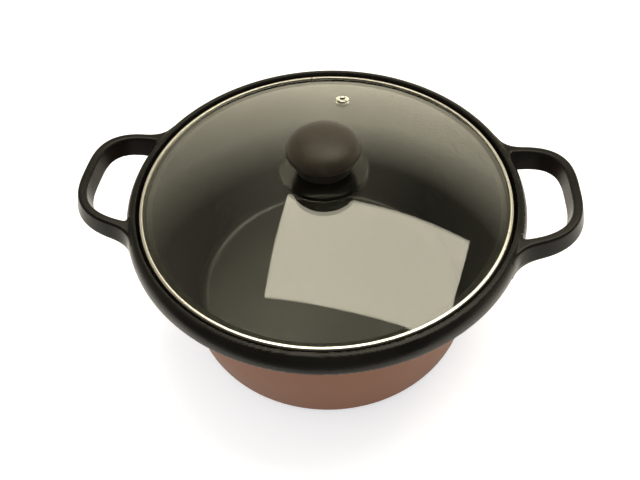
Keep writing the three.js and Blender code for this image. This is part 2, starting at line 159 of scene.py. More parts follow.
def placed(tree, group, **values):
    """A shader group placed in a material with its own values."""
    node = tree.nodes.new("ShaderNodeGroup")
    node.node_tree = group
    for label, value in values.items():
        node.inputs[label].default_value = value
    return node


# The fine skin of a sprayed or moulded surface, and broad patches left by hands and cloths
coat_skin, grain_in, grain_out = effect(
    "coat skin", {"Grain": 900.0, "Patches": 22.0}, ("Height", "Fleck", "Handled"),
)
where = add_node(coat_skin, "ShaderNodeTexCoord").outputs["Object"]
fine = add_node(coat_skin, "ShaderNodeTexNoise", {
    "Vector": where, "Scale": grain_in.outputs["Grain"], "Detail": 3.0, "Roughness": 0.6,
})
broad = add_node(coat_skin, "ShaderNodeTexNoise", {
    "Vector": where, "Scale": grain_in.outputs["Patches"], "Detail": 5.0, "Roughness": 0.62,
})
fleck = ramp(coat_skin, fine.outputs["Fac"], 0.58, 0.72, 0.0, 1.0)
handled = ramp(coat_skin, broad.outputs["Fac"], 0.38, 0.66, 0.0, 1.0)
coat_skin.links.new(fine.outputs["Fac"], grain_out.inputs["Height"])
coat_skin.links.new(fleck, grain_out.inputs["Fleck"])
coat_skin.links.new(handled, grain_out.inputs["Handled"])

# Rings left by turning or polishing a piece about its axis
STREAKS_PER_RADIAN = 0.8
turning_marks, marks_in, marks_out = effect("turning marks", {"Pitch": 0.0006}, ("Height", "Streak"))
where = add_node(turning_marks, "ShaderNodeTexCoord").outputs["Object"]
axes = add_node(turning_marks, "ShaderNodeSeparateXYZ", {"Vector": where})
flat = add_node(turning_marks, "ShaderNodeCombineXYZ", {"X": axes.outputs["X"], "Y": axes.outputs["Y"]})
radius = add_node(turning_marks, "ShaderNodeVectorMath", {0: flat.outputs[0]}, operation="LENGTH")
angle = maths(turning_marks, "ARCTAN2", axes.outputs["Y"], axes.outputs["X"])
pitch = marks_in.outputs["Pitch"]
track = add_node(turning_marks, "ShaderNodeCombineXYZ", {
    "X": maths(turning_marks, "DIVIDE", radius.outputs["Value"], pitch),
    "Y": maths(turning_marks, "MULTIPLY", angle, STREAKS_PER_RADIAN),
    "Z": maths(turning_marks, "DIVIDE", axes.outputs["Z"], pitch),
})
lines = add_node(turning_marks, "ShaderNodeTexNoise", {
    "Vector": track.outputs[0], "Scale": 1.0, "Detail": 3.0, "Roughness": 0.55,
})
streak = ramp(turning_marks, lines.outputs["Fac"], 0.35, 0.7, 0.0, 1.0)
turning_marks.links.new(lines.outputs["Fac"], marks_out.inputs["Height"])
turning_marks.links.new(streak, marks_out.inputs["Streak"])


def bumped(tree, shader, height, depth, strength=0.5):
    """Gives a shader a bump from a height, depth metres deep."""
    bump = add_node(tree, "ShaderNodeBump", {"Strength": strength, "Distance": depth, "Height": height})
    tree.links.new(bump.outputs["Normal"], shader.inputs["Normal"])


def dressed(tree, shader, share, colours, roughness, rough_share=None, flecks=None):
    """Gives a shader a colour and a roughness that each change with a share, and any flecks."""
    colour = blended(tree, share, *colours)
    if flecks:
        mask, amount, fleck_colour = flecks
        colour = blended(tree, ramp(tree, mask, 0, 1, 0, amount), colour, fleck_colour)
    rough = ramp(tree, share if rough_share is None else rough_share, 0, 1, *roughness)
    tree.links.new(colour, shader.inputs["Base Color"])
    tree.links.new(rough, shader.inputs["Roughness"])


mauve_coat, tree, shader = finish_of("mauve coat")
skin = placed(tree, coat_skin, Grain=1400.0, Patches=14.0)
dressed(
    tree, shader, skin.outputs["Handled"],
    colours=((0.222, 0.104, 0.066, 1), (0.246, 0.118, 0.076, 1)), roughness=(0.36, 0.46),
    flecks=(skin.outputs["Fleck"], 0.25, (0.29, 0.152, 0.103, 1)),
)
shader.inputs["Specular IOR Level"].default_value = 0.03
bumped(tree, shader, skin.outputs["Height"], 0.00008)

nonstick_coat, tree, shader = finish_of("non-stick coat")
skin = placed(tree, coat_skin, Grain=1100.0, Patches=20.0)
marks = placed(tree, turning_marks, Pitch=0.0009)
dressed(
    tree, shader, marks.outputs["Streak"],
    colours=((0.012, 0.0113, 0.0092, 1), (0.017, 0.016, 0.0132, 1)),
    roughness=(0.23, 0.26), rough_share=skin.outputs["Handled"],
    flecks=(skin.outputs["Fleck"], 0.25, (0.034, 0.032, 0.027, 1)),
)
shader.inputs["Specular IOR Level"].default_value = 0.26
bumped(tree, shader, marks.outputs["Height"], 0.000012)

# The lid rubs the coat dull where it rests
rubbed_seat = nonstick_coat.copy()
rubbed_seat.name = "rubbed lid seat"
rubbed_seat.node_tree.nodes["Principled BSDF"].inputs["Specular IOR Level"].default_value = 0.03

WALL_FOOT, WALL_TOP, FLANGE_LOW, FLANGE_TOP = 103.8, 114.8, 106.2, 108.9
FLANGE_RADIUS, WALL_THICK = 121.2, 3.2
RECESS_RADIUS, RECESS_TOP, FLOOR_TOP = 78.3, 1.6, 5.0
FOOT_ROUND, NECK_ROUND, SEAT_ROUND, INNER_ROUND = 9.0, 1.2, 1.5, 8.0
UNDERSIDE, RUBBED_DEPTH = 3.0, 0.3
SLOPE = (WALL_TOP - WALL_FOOT) / FLANGE_LOW


def inner_wall(z):
    """The radius of the vessel's inner face at a height."""
    return WALL_FOOT + SLOPE * z - WALL_THICK


vessel = turned("vessel", section([
    (0, RECESS_TOP, 0), (RECESS_RADIUS, RECESS_TOP, 0.3), (RECESS_RADIUS, 0, 0.5),
    (WALL_FOOT, 0, FOOT_ROUND), (WALL_TOP, FLANGE_LOW, NECK_ROUND),
    (FLANGE_RADIUS, FLANGE_LOW, 0.5), (FLANGE_RADIUS, FLANGE_TOP, 0.6),
    (inner_wall(FLANGE_TOP), FLANGE_TOP, SEAT_ROUND),
    (inner_wall(FLOOR_TOP), FLOOR_TOP, INNER_ROUND), (0, FLOOR_TOP, 0),
]), steps=240)
for coat in (mauve_coat, nonstick_coat, rubbed_seat):
    vessel.data.materials.append(coat)
for face in vessel.data.polygons:
    middle = face.center / MM
    inside = middle.z > UNDERSIDE and middle.to_2d().length < inner_wall(middle.z) + WALL_THICK / 2
    face.material_index = 2 if middle.z > FLANGE_TOP - RUBBED_DEPTH else int(inside)
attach(vessel, "pot")
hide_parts("pot_vessel")

# Base disc: a steel plate let into the underside so that the pot heats on an induction hob.
# It is stamped with one shallow rib and ground flat, which leaves fine rings.
ground_steel, tree, shader = finish_of("ground steel")
marks = placed(tree, turning_marks, Pitch=0.0004)
dressed(
    tree, shader, marks.outputs["Streak"],
    colours=((0.46, 0.45, 0.43, 1), (0.62, 0.61, 0.58, 1)), roughness=(0.26, 0.42),
)
shader.inputs["Metallic"].default_value = 1.0
bumped(tree, shader, marks.outputs["Height"], 0.00004)
DISC_RADIUS, DISC_LOW, DISC_TOP = 78.0, 0.3, 1.3
RIB_IN, RIB_OUT, RIB_SLOPE, RIB_HIGH, RIB_ROUND = 48.0, 56.0, 2.0, 0.7, 1.5
base_disc = turned("base_plate", section([
    (0, DISC_LOW, 0), (RIB_IN, DISC_LOW, RIB_ROUND), (RIB_IN + RIB_SLOPE, RIB_HIGH, RIB_ROUND),
    (RIB_OUT - RIB_SLOPE, RIB_HIGH, RIB_ROUND), (RIB_OUT, DISC_LOW, RIB_ROUND),
    (DISC_RADIUS, DISC_LOW, 0.25), (DISC_RADIUS, DISC_TOP, 0.25), (0, DISC_TOP, 0),
], steps=4), steps=160)
base_disc.data.materials.append(ground_steel)
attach(base_disc, "pot")
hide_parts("base_disc")

# Rim ring: one black moulding with a lip round the lid, a flared band and two loop handles.
# A shelf inside carries the vessel's flange. The handles rise outwards and swell into the band,
# so the whole form is drawn as a distance field and skinned as one closed body.
POT_TOP, LIP_INNER, BAND_TOP, BAND_LOW = 116.7, 121.7, 126.2, 129.2
BAND_LOW_Z, SHELF_INNER, SHELF_TOP, RING_LOW = 105.9, 115.6, 105.9, 101.7
EDGE = 0.7
LOOP_REACH, LOOP_HALF, LOOP_START, LOOP_POWER = 156.2, 40.5, 110.0, 3.05
LOOP_PIVOT, LOOP_TILT, LOOP_DROP = 119.3, math.radians(11.4), 0.2
BAR_TOP, BAR_OUTER, BAR_INNER = 2.55, 1.7, 3.4
BAR_ROOT_HEIGHT, BAR_END_HEIGHT = 15.0, 12.3
FILLET_OUTER, FILLET_INNER, FILLET_CHANGE, BAR_EDGE = 12.0, 4.0, 2.0, 1.6
LOOP_TAIL, LOOP_ZONE, ROOT_SEAM = 70.0, 96.0, 1.0
FACE_DROP, FACE_ROUND = 0.6, 5.7
SKIN_INNER, SKIN_REACH, SKIN_LOW, SKIN_TOP, SKIN_PITCH = 112.0, (168.0, 131.5), 99.0, 127.0, 0.85


def inset(corners, size):
    """A section polygon with every side moved inwards."""
    moved = []
    for i in range(len(corners)):
        a, b, c = (Vector(corners[j % len(corners)]) for j in (i - 1, i, i + 1))
        first, second = (b - a).normalized(), (c - b).normalized()
        n1, n2 = Vector((-first.y, first.x)), Vector((-second.y, second.x))
        moved.append(b + (n1 + n2) * (size / (1 + n1.dot(n2))))
    return [tuple(p) for p in moved]


face_low = BAND_LOW_Z - FACE_DROP
band_face = [
    (BAND_LOW - FACE_ROUND * (1 - math.cos(a)), face_low + (POT_TOP - face_low) * math.sin(a))
    for a in np.linspace(0, math.pi / 2, 9)
]
BAND_SECTION = inset([
    (SHELF_INNER, RING_LOW), (LIP_INNER, RING_LOW), *band_face,
    (LIP_INNER, POT_TOP), (LIP_INNER, SHELF_TOP), (SHELF_INNER, SHELF_TOP),
], EDGE)
turns = np.linspace(0, math.pi / 2, 70)
LOOP_PLAN = np.vstack([
    np.column_stack([
        LOOP_START + (LOOP_REACH - LOOP_START) * np.cos(turns) ** (2 / LOOP_POWER),
        LOOP_HALF * np.sin(turns) ** (2 / LOOP_POWER),
    ]),
    [[LOOP_TAIL, LOOP_HALF]],
])


def to_segments(points, ends):
    """The distance of each point from a chain of straight pieces."""
    nearest = np.full(len(points), 1e9)
    for a, b in zip(ends[:-1], ends[1:]):
        along = np.subtract(b, a)
        share = np.clip(((points - a) @ along) / (along @ along), 0, 1)
        gap = points - a - share[:, None] * along
        nearest = np.minimum(nearest, np.einsum("ij,ij->i", gap, gap))
    return np.sqrt(nearest)


def softer(a, b, size):
    """The union of two fields, with a fillet."""
    share = np.clip(0.5 + 0.5 * (b - a) / size, 0, 1)
    return b + (a - b) * share - size * share * (1 - share)


def ring_field(points):
    """The rim ring's distance field in mm: below zero inside the plastic."""
    x, y, z = np.abs(points[:, 0]), np.abs(points[:, 1]), points[:, 2]
    out = np.hypot(x, y)
    # The band: how far from its section, and on which side
    flat = np.column_stack([out, z])
    closed = [np.array(p) for p in BAND_SECTION + BAND_SECTION[:1]]
    inside = np.zeros(len(points), bool)
    for a, b in zip(closed[:-1], closed[1:]):
        spans = (a[1] > z) != (b[1] > z)
        if a[1] != b[1]:
            inside ^= spans & (out < a[0] + (z - a[1]) / (b[1] - a[1]) * (b[0] - a[0]))
    band = to_segments(flat, closed)
    band = np.where(inside, -band, band) - EDGE
    field = band.copy()
    # The handles, in their own tilted plane: u runs outwards, and w is the height over their top face
    near = x > LOOP_ZONE
    x, y, z, out = x[near], y[near], z[near], out[near]
    rise = z - (POT_TOP - LOOP_DROP)
    u = LOOP_PIVOT + (x - LOOP_PIVOT) * math.cos(LOOP_TILT) + rise * math.sin(LOOP_TILT)
    w = rise * math.cos(LOOP_TILT) - (x - LOOP_PIVOT) * math.sin(LOOP_TILT)
    side = to_segments(np.column_stack([u, y]), LOOP_PLAN)
    beyond = np.clip(u - LOOP_START, 0, None) / (LOOP_REACH - LOOP_START)
    within = beyond ** LOOP_POWER + (y / LOOP_HALF) ** LOOP_POWER < 1
    side = np.where(within, -side, side)
    height = np.interp(u, [LOOP_PIVOT, LOOP_REACH], [BAR_ROOT_HEIGHT, BAR_END_HEIGHT])
    depth = np.clip(-w / height, 0, 1)
    bar = np.maximum(side - BAR_TOP - BAR_OUTER * depth, -side - BAR_TOP - BAR_INNER * depth)
    # Fillets at the roots, rounded edges, and room kept free for the lid
    wall = out - np.interp(z, [BAND_LOW_Z, POT_TOP], [BAND_LOW, BAND_TOP])
    fillet = np.interp(side, [-FILLET_CHANGE, FILLET_CHANGE], [FILLET_INNER, FILLET_OUTER])
    loop = np.maximum(softer(bar, wall, fillet), bar - fillet)
    loop = -softer(-loop, -w, BAR_EDGE)
    loop = -softer(-loop, w + height, BAR_EDGE)
    loop = np.maximum(loop, LIP_INNER + EDGE - out)
    field[near] = softer(band[near], loop, ROOT_SEAM)
    return field


def skinned(field_of, inner, reach, low, top, pitch):
    """Vertices, normals and quads of the zero surface of a field that mirrors in X and Y."""
    far, probe, least_slope, largest_move = 9.0, 0.02, 0.2, 0.4 * pitch
    # The field on a quarter of the grid, mirrored to the whole
    axes = [pitch * (np.arange(math.ceil(size / pitch)) + 0.5) for size in reach]
    axes.append(np.arange(low, top, pitch))
    grid = np.stack(np.meshgrid(*axes, indexing="ij"), axis=-1)
    flat = grid.reshape(-1, 3)
    out = np.hypot(flat[:, 0], flat[:, 1])
    wanted = out > inner
    values = np.full(len(flat), far)
    values[wanted] = field_of(flat[wanted])
    quarter = values.reshape(grid.shape[:3])
    half = np.concatenate([quarter[::-1], quarter])
    field = np.concatenate([half[:, ::-1], half], axis=1)
    origin = np.array([-axes[0][-1], -axes[1][-1], low])
    # A vertex in each cell that the surface crosses, at the mean of the crossings on its edges
    cells = np.array(field.shape) - 1
    total = np.zeros((*cells, 3), np.float32)
    count = np.zeros(cells, np.float32)
    crossings = []
    base = np.indices(cells).astype(np.float32)
    for axis in range(3):
        first = np.take(field, range(field.shape[axis] - 1), axis)
        second = np.take(field, range(1, field.shape[axis]), axis)
        crossed = (first < 0) != (second < 0)
        share = np.where(crossed, first / np.where(crossed, first - second, 1), 0)
        crossings.append((crossed, first < 0))
        others = [i for i in range(3) if i != axis]
        for p in (0, 1):
            for q in (0, 1):
                cut = [slice(None)] * 3
                cut[others[0]] = slice(p, p + cells[others[0]])
                cut[others[1]] = slice(q, q + cells[others[1]])
                hit = crossed[tuple(cut)]
                count += hit
                total[..., axis] += hit * (base[axis] + share[tuple(cut)])
                total[..., others[0]] += hit * (base[others[0]] + p)
                total[..., others[1]] += hit * (base[others[1]] + q)
    used = count > 0
    number = np.full(cells, -1)
    number[used] = np.arange(used.sum())
    points = origin + pitch * (total[used] / count[used][:, None]).astype(float)
    # A quad round each grid edge that the surface crosses
    quads = []
    for axis, (crossed, starts_in) in enumerate(crossings):
        others = [i for i in range(3) if i != axis]
        at = np.argwhere(crossed)
        ring = []
        for p, q in ((1, 1), (0, 1), (0, 0), (1, 0)):
            cell = at.copy()
            cell[:, others[0]] -= p
            cell[:, others[1]] -= q
            ring.append(number[tuple(cell.T)])
        quad = np.stack(ring, axis=1)
        flip = starts_in[crossed] ^ (axis == 1)
        quad[~flip] = quad[~flip][:, ::-1]
        quads.append(quad)
    # The vertices are drawn on to the true surface, which also gives their normals
    steps = np.eye(3) * probe
    for _ in range(3):
        slope = np.stack([field_of(points + s) - field_of(points - s) for s in steps], axis=1) / (2 * probe)
        steepness = np.maximum(np.einsum("ij,ij->i", slope, slope), least_slope)
        move = (field_of(points) / steepness)[:, None] * slope
        points = points - np.clip(move, -largest_move, largest_move)
    normals = slope / np.linalg.norm(slope, axis=1)[:, None]
    return points, normals, np.concatenate(quads)


points, normals, quads = skinned(ring_field, SKIN_INNER, SKIN_REACH, SKIN_LOW, SKIN_TOP, SKIN_PITCH)
data = bpy.data.meshes.new("rim_with_handles")
data.from_pydata(points * MM, [], quads.tolist())
data.shade_smooth()
data.normals_split_custom_set_from_vertices(normals.tolist())
rim_ring = bpy.data.objects.new("rim_with_handles", data)
bpy.context.scene.collection.objects.link(rim_ring)

black_moulding, tree, shader = finish_of("black moulding")
skin = placed(tree, coat_skin, Grain=1500.0, Patches=26.0)
dressed(
    tree, shader, skin.outputs["Handled"],
    colours=((0.0048, 0.0043, 0.0035, 1), (0.0075, 0.0067, 0.0055, 1)), roughness=(0.24, 0.34),
    flecks=(skin.outputs["Fleck"], 0.3, (0.02, 0.018, 0.015, 1)),
)
shader.inputs["Specular IOR Level"].default_value = 0.16
bumped(tree, shader, skin.outputs["Height"], 0.00006)
rim_ring.data.materials.append(black_moulding)
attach(rim_ring, "pot")
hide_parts("rim_handle_ring")

# Ring screws: four plated pan-head screws that hold the ring up against the vessel's flange from below.
# One screw with its cross slot is modelled, and placed round the ring at both sides of each handle.
HEAD_LOW, HEAD_TOP, SHANK_TOP = 99.6, 101.4, 104.9
HEAD_RADIUS, HEAD_CROWN, SHANK_RADIUS = 3.2, 0.9, 1.3
SLOT, SLOT_DEPTH, SLOT_SHAPE = 3.4, 0.9, 3.6
SCREW_CIRCLE, SCREW_ANGLE = 119.6, math.radians(21)


def cut_out(piece, cutter, crossing=False):
    """Takes a cutter out of a piece. A cutter whose own parts cross has crossing set."""
    cutting = piece.modifiers.new("cut", "BOOLEAN")
    cutting.object = cutter
    cutting.operation = "DIFFERENCE"
    cutting.solver = "EXACT"
    cutting.use_self = crossing
    baked(piece)
    bpy.data.objects.remove(cutter)


def cross_slotted(name, points, slot, depth, head_low, steps=32):
    """A turned screw, head down, with a cross slot cut in its head."""
    body = turned(name, points, steps=steps)
    cut = bmesh.new()
    for long, wide in ((slot, slot / SLOT_SHAPE), (slot / SLOT_SHAPE, slot)):
        bar = bmesh.ops.create_cube(cut, size=1.0)["verts"]
        bmesh.ops.scale(cut, vec=(long * MM, wide * MM, 2 * depth * MM), verts=bar)
        bmesh.ops.translate(cut, vec=(0, 0, head_low * MM), verts=bar)
    cut_out(body, finished(name + "_slot", cut), crossing=True)
    return body


def baked(piece):
    """Puts the result of a piece's modifiers in its mesh."""
    graph = bpy.context.evaluated_depsgraph_get()
    data = bpy.data.meshes.new_from_object(piece.evaluated_get(graph))
    piece.modifiers.clear()
    piece.data = data


plated_steel, tree, shader = finish_of("plated steel")
skin = placed(tree, coat_skin, Grain=2200.0, Patches=160.0)
dressed(
    tree, shader, skin.outputs["Handled"],
    colours=((0.5, 0.48, 0.44, 1), (0.64, 0.62, 0.58, 1)), roughness=(0.2, 0.36),
)
shader.inputs["Metallic"].default_value = 1.0
bumped(tree, shader, skin.outputs["Height"], 0.00002)

one_screw = cross_slotted("ring_screw_shape", section([
    (0, HEAD_LOW, 0), (HEAD_RADIUS - HEAD_CROWN, HEAD_LOW, 0.6),
    (HEAD_RADIUS, HEAD_LOW + HEAD_CROWN, 0.7), (HEAD_RADIUS, HEAD_TOP, 0.2),
    (SHANK_RADIUS, HEAD_TOP, 0.15), (SHANK_RADIUS, SHANK_TOP, 0.3), (0, SHANK_TOP, 0),
], steps=4), SLOT, SLOT_DEPTH, HEAD_LOW)

screw_round = bpy.data.node_groups.new("screws round the ring", "GeometryNodeTree")
for label, kind in (("Screw", "Object"), ("Circle", "Float"), ("Angle", "Float"), ("Finish", "Material")):
    screw_round.interface.new_socket(label, in_out="INPUT", socket_type="NodeSocket" + kind)
screw_round.interface.new_socket("Geometry", in_out="OUTPUT", socket_type="NodeSocketGeometry")
sizes = screw_round.nodes.new("NodeGroupInput")
seats = add_node(screw_round, "GeometryNodePoints", {"Count": 4})
order = add_node(screw_round, "GeometryNodeInputIndex").outputs[0]
pair = maths(screw_round, "MODULO", order, 2.0)
side = maths(screw_round, "GREATER_THAN", order, 1.5)
swing = maths(screw_round, "MULTIPLY_ADD", pair, 2.0, -1.0)
swung = maths(screw_round, "MULTIPLY", swing, sizes.outputs["Angle"])
bearing = maths(screw_round, "MULTIPLY_ADD", side, math.pi, swung)
away = add_node(screw_round, "ShaderNodeCombineXYZ", {"X": sizes.outputs["Circle"]})
spot = add_node(screw_round, "ShaderNodeVectorRotate", {
    "Vector": away.outputs[0], "Angle": bearing,
}, rotation_type="Z_AXIS")
seated = add_node(screw_round, "GeometryNodeSetPosition", {
    "Geometry": seats.outputs[0], "Position": spot.outputs[0],
})
shape = add_node(screw_round, "GeometryNodeObjectInfo", {"Object": sizes.outputs["Screw"]})
turned_by = add_node(screw_round, "ShaderNodeCombineXYZ", {"Z": bearing})
copies = add_node(screw_round, "GeometryNodeInstanceOnPoints", {
    "Points": seated.outputs[0], "Instance": shape.outputs["Geometry"], "Rotation": turned_by.outputs[0],
})
real = add_node(screw_round, "GeometryNodeRealizeInstances", {0: copies.outputs[0]})
clad = add_node(screw_round, "GeometryNodeSetMaterial", {
    "Geometry": real.outputs[0], "Material": sizes.outputs["Finish"],
})
ends = screw_round.nodes.new("NodeGroupOutput")
screw_round.links.new(clad.outputs[0], ends.inputs["Geometry"])

ring_screws = bpy.data.objects.new("ring_screws", bpy.data.meshes.new("ring_screws"))
bpy.context.scene.collection.objects.link(ring_screws)
spread = ring_screws.modifiers.new("spread", "NODES")
spread.node_group = screw_round
given = {"Screw": one_screw, "Circle": SCREW_CIRCLE * MM, "Angle": SCREW_ANGLE, "Finish": plated_steel}
for item in screw_round.interface.items_tree:
    if item.in_out == "INPUT":
        spread[item.identifier] = given[item.name]
baked(ring_screws)
bpy.data.objects.remove(one_screw)
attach(ring_screws, "pot")
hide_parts("ring_screw_1", "ring_screw_2", "ring_screw_3", "ring_screw_4")

# Lid glass: a shallow tempered dome with a flat ground edge, bored for the knob screw and the steam vent.
# Lamps shine through it on to the pot's floor, and its tint varies a little.
DOME_TOP, DOME_EDGE, DOME_HEIGHT, GLASS = 131.7, 117.5, 17.6, 4.0
DOME_RADIUS = (DOME_EDGE ** 2 + DOME_HEIGHT ** 2) / (2 * DOME_HEIGHT)
DOME_CENTRE = DOME_TOP - DOME_RADIUS
GLASS_EDGE, GLASS_EDGE_TOP, SCREW_BORE = 118.9, 114.1, 2.3
VENT_OUT, VENT_TURN, VENT_BORE = 80.0, math.radians(85.6), 3.0


def dome(radius, first, last, steps=28):
    """Points on a circle about the dome's centre, between two distances from the axis."""
    spread_out = np.linspace(first, last, steps + 1)
    return [(float(r), DOME_CENTRE + math.sqrt(radius ** 2 - r ** 2)) for r in spread_out]


def at_vent(piece):
    """Moves a piece made about Z, with heights measured from the dome's centre, to the vent."""
    lean = Matrix.Rotation(math.asin(VENT_OUT / DOME_RADIUS), 4, "Y")
    place = Matrix.Translation((0, 0, DOME_CENTRE * MM)) @ Matrix.Rotation(VENT_TURN, 4, "Z") @ lean
    piece.data.transform(place)


under_edge = DOME_EDGE * (1 - GLASS / DOME_RADIUS)
edge_low = GLASS_EDGE_TOP - GLASS * math.sqrt(1 - (DOME_EDGE / DOME_RADIUS) ** 2)
lid_glass = turned("lid_dome", [
    *dome(DOME_RADIUS - GLASS, SCREW_BORE, under_edge),
    (GLASS_EDGE, edge_low), (GLASS_EDGE, GLASS_EDGE_TOP),
    *dome(DOME_RADIUS, DOME_EDGE, SCREW_BORE),
], steps=240, sharp=8)
bore_low, bore_high = DOME_RADIUS - 3 * GLASS, DOME_RADIUS + 1.5 * GLASS
vent_bore = turned("vent_bore", [
    (0, bore_low), (VENT_BORE, bore_low), (VENT_BORE, bore_high), (0, bore_high),
], steps=48)
at_vent(vent_bore)
cut_out(lid_glass, vent_bore)


def lit_through(tree, shader, tint):
    """Lets lamps shine through a clear finish as through a tinted sheet."""
    shadowed = add_node(tree, "ShaderNodeLightPath").outputs["Is Shadow Ray"]
    passing = add_node(tree, "ShaderNodeBsdfTransparent", {"Color": tint})
    either = add_node(tree, "ShaderNodeMixShader", {
        0: shadowed, 1: shader.outputs[0], 2: passing.outputs[0],
    })
    tree.links.new(either.outputs[0], tree.nodes["Material Output"].inputs["Surface"])


clear_glass, tree, shader = finish_of("clear glass")
skin = placed(tree, coat_skin, Grain=300.0, Patches=16.0)
colour = blended(tree, skin.outputs["Handled"], (0.945, 0.96, 0.935, 1), (0.925, 0.94, 0.915, 1))
tree.links.new(colour, shader.inputs["Base Color"])
shader.inputs["Transmission Weight"].default_value = 1.0
shader.inputs["IOR"].default_value = 1.5
shader.inputs["Roughness"].default_value = 0.0
lit_through(tree, shader, (0.86, 0.88, 0.85, 1))
lid_glass.data.materials.clear()
lid_glass.data.materials.append(clear_glass)
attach(lid_glass, "lid")
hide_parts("lid_glass")

# Lid band: a stainless strip rolled round the glass edge and polished bright.
# Its ends meet in an open butt seam at the back.
LID_TOP, LID_LOW, LID_OUT, STRIP = 115.2, 109.2, 120.0, 0.8
TOP_LEG, TOP_FALL, LOW_LEG = 2.5, 0.2, 2.4
SEAM_TURN, SEAM_GAP = math.radians(99.8), 0.5
gap_turn = SEAM_GAP / LID_OUT
lid_band = turned("lid_band", section([
    (LID_OUT - LOW_LEG, LID_LOW, 0.3), (LID_OUT, LID_LOW, 1.2), (LID_OUT, LID_TOP, 1.5),
    (LID_OUT - TOP_LEG, LID_TOP - TOP_FALL, 0.25), (LID_OUT - TOP_LEG, LID_TOP - STRIP, 0.2),
    (LID_OUT - STRIP, LID_TOP - STRIP, 0.5), (LID_OUT - STRIP, LID_LOW + STRIP, 0.3),
    (LID_OUT - LOW_LEG, LID_LOW + STRIP, 0.3),
], steps=6), steps=300, start=SEAM_TURN + gap_turn / 2, sweep=2 * math.pi - gap_turn)
bright_steel, tree, shader = finish_of("bright steel")
marks = placed(tree, turning_marks, Pitch=0.00025)
dressed(
    tree, shader, marks.outputs["Streak"],
    colours=((0.8, 0.77, 0.7, 1), (0.88, 0.85, 0.785, 1)), roughness=(0.2, 0.32),
)
shader.inputs["Metallic"].default_value = 1.0
lid_band.data.materials.append(bright_steel)
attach(lid_band, "lid")
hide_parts("lid_steel_band")

# Vent eyelet: a small steel tube set through the glass and rolled over on both faces.
# Touching pieces keep the same small clearance as in the CAD model.
CLEAR = 0.3
TUBE_IN, TUBE_OUT, ROLL_CREST, ROLL_OUT, ROLL_EDGE, ROLL_HIGH = 1.9, 2.7, 3.15, 4.7, 0.75, 1.2
UNDER_GLASS = DOME_RADIUS - GLASS
eyelet = turned("steam_eyelet", section([
    (TUBE_IN, UNDER_GLASS - ROLL_EDGE, 0.35), (ROLL_CREST, UNDER_GLASS - ROLL_HIGH, 0.8),
    (ROLL_OUT, UNDER_GLASS - ROLL_EDGE, 0.3), (ROLL_OUT, UNDER_GLASS - CLEAR, 0.1),
    (TUBE_OUT, UNDER_GLASS - CLEAR, 0.1), (TUBE_OUT, DOME_RADIUS + CLEAR, 0.1),
    (ROLL_OUT, DOME_RADIUS + CLEAR, 0.1), (ROLL_OUT, DOME_RADIUS + ROLL_EDGE, 0.3),
    (ROLL_CREST, DOME_RADIUS + ROLL_HIGH, 0.8), (TUBE_IN, DOME_RADIUS + ROLL_EDGE, 0.35),
], steps=4), steps=48)
at_vent(eyelet)
eyelet.data.materials.append(bright_steel)
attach(eyelet, "lid")
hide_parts("vent_eyelet")

# Knob pad: a clear silicone disc, slightly milky and soft-edged, that keeps the knob off the glass.
# It is moulded to the dome's curve and held by the knob screw.
PAD_OUT, PAD_LOW, PAD = 28.5, DOME_RADIUS + CLEAR, 0.8
PAD_LOW_ROUND, PAD_TOP_ROUND, PAD_DROP = 0.3, 0.25, 0.75
pad = turned("clear_pad", [
    *dome(PAD_LOW, SCREW_BORE, PAD_OUT - PAD_LOW_ROUND, 10), (PAD_OUT, DOME_CENTRE + PAD_LOW - PAD_DROP),
    *dome(PAD_LOW + PAD, PAD_OUT - PAD_TOP_ROUND, SCREW_BORE, 10),
], steps=120, sharp=50)
clear_silicone, tree, shader = finish_of("clear silicone")
skin = placed(tree, coat_skin, Grain=700.0, Patches=60.0)
shader.inputs["Base Color"].default_value = (0.93, 0.93, 0.9, 1)
shader.inputs["Transmission Weight"].default_value = 1.0
shader.inputs["IOR"].default_value = 1.41
tree.links.new(ramp(tree, skin.outputs["Handled"], 0, 1, 0.03, 0.09), shader.inputs["Roughness"])
lit_through(tree, shader, (0.8, 0.8, 0.77, 1))
pad.data.materials.append(clear_silicone)
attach(pad, "lid")
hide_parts("knob_pad")

# Knob foot: a matt black moulding, hollow under its skirt.
# Its boss stands on the pad and holds the brass sleeve, and its spigot carries the cap.
BOSS_OUT, SKIRT_IN, SKIRT_OUT, SKIRT_NECK, SPIGOT_OUT = 9.0, 16.1, 18.5, 17.2, 12.0
BOSS_STAND, SKIRT_HEIGHT, HOLLOW_HEIGHT, SPIGOT_HEIGHT = 2.7, 9.2, 5.0, 5.0
INSERT_OUT, INSERT_LENGTH, COLLAR_OUT = 4.3, 9.0, 5.3
BOSS_LOW = DOME_CENTRE + PAD_LOW + PAD + CLEAR
FOOT_LOW = BOSS_LOW + BOSS_STAND
FOOT_TOP, HOLLOW_TOP = FOOT_LOW + SKIRT_HEIGHT, FOOT_LOW + HOLLOW_HEIGHT
SPIGOT_TOP, COLLAR_LOW = FOOT_TOP + SPIGOT_HEIGHT, BOSS_LOW + INSERT_LENGTH
sleeve_bore, collar_bore, bore_step = INSERT_OUT + CLEAR, COLLAR_OUT + CLEAR, COLLAR_LOW - CLEAR
foot = turned("knob_base", section([
    (sleeve_bore, BOSS_LOW, 0.2), (BOSS_OUT, BOSS_LOW, 0.4), (BOSS_OUT, HOLLOW_TOP, 1.0),
    (SKIRT_IN, HOLLOW_TOP, 1.0), (SKIRT_IN, FOOT_LOW, 0.5), (SKIRT_OUT, FOOT_LOW, 1.0),
    (SKIRT_NECK, FOOT_TOP, 0.5), (SPIGOT_OUT, FOOT_TOP, 0.2), (SPIGOT_OUT, SPIGOT_TOP, 0.3),
    (collar_bore, SPIGOT_TOP, 0.2), (collar_bore, bore_step, 0.1), (sleeve_bore, bore_step, 0.1),
], steps=5), steps=120)
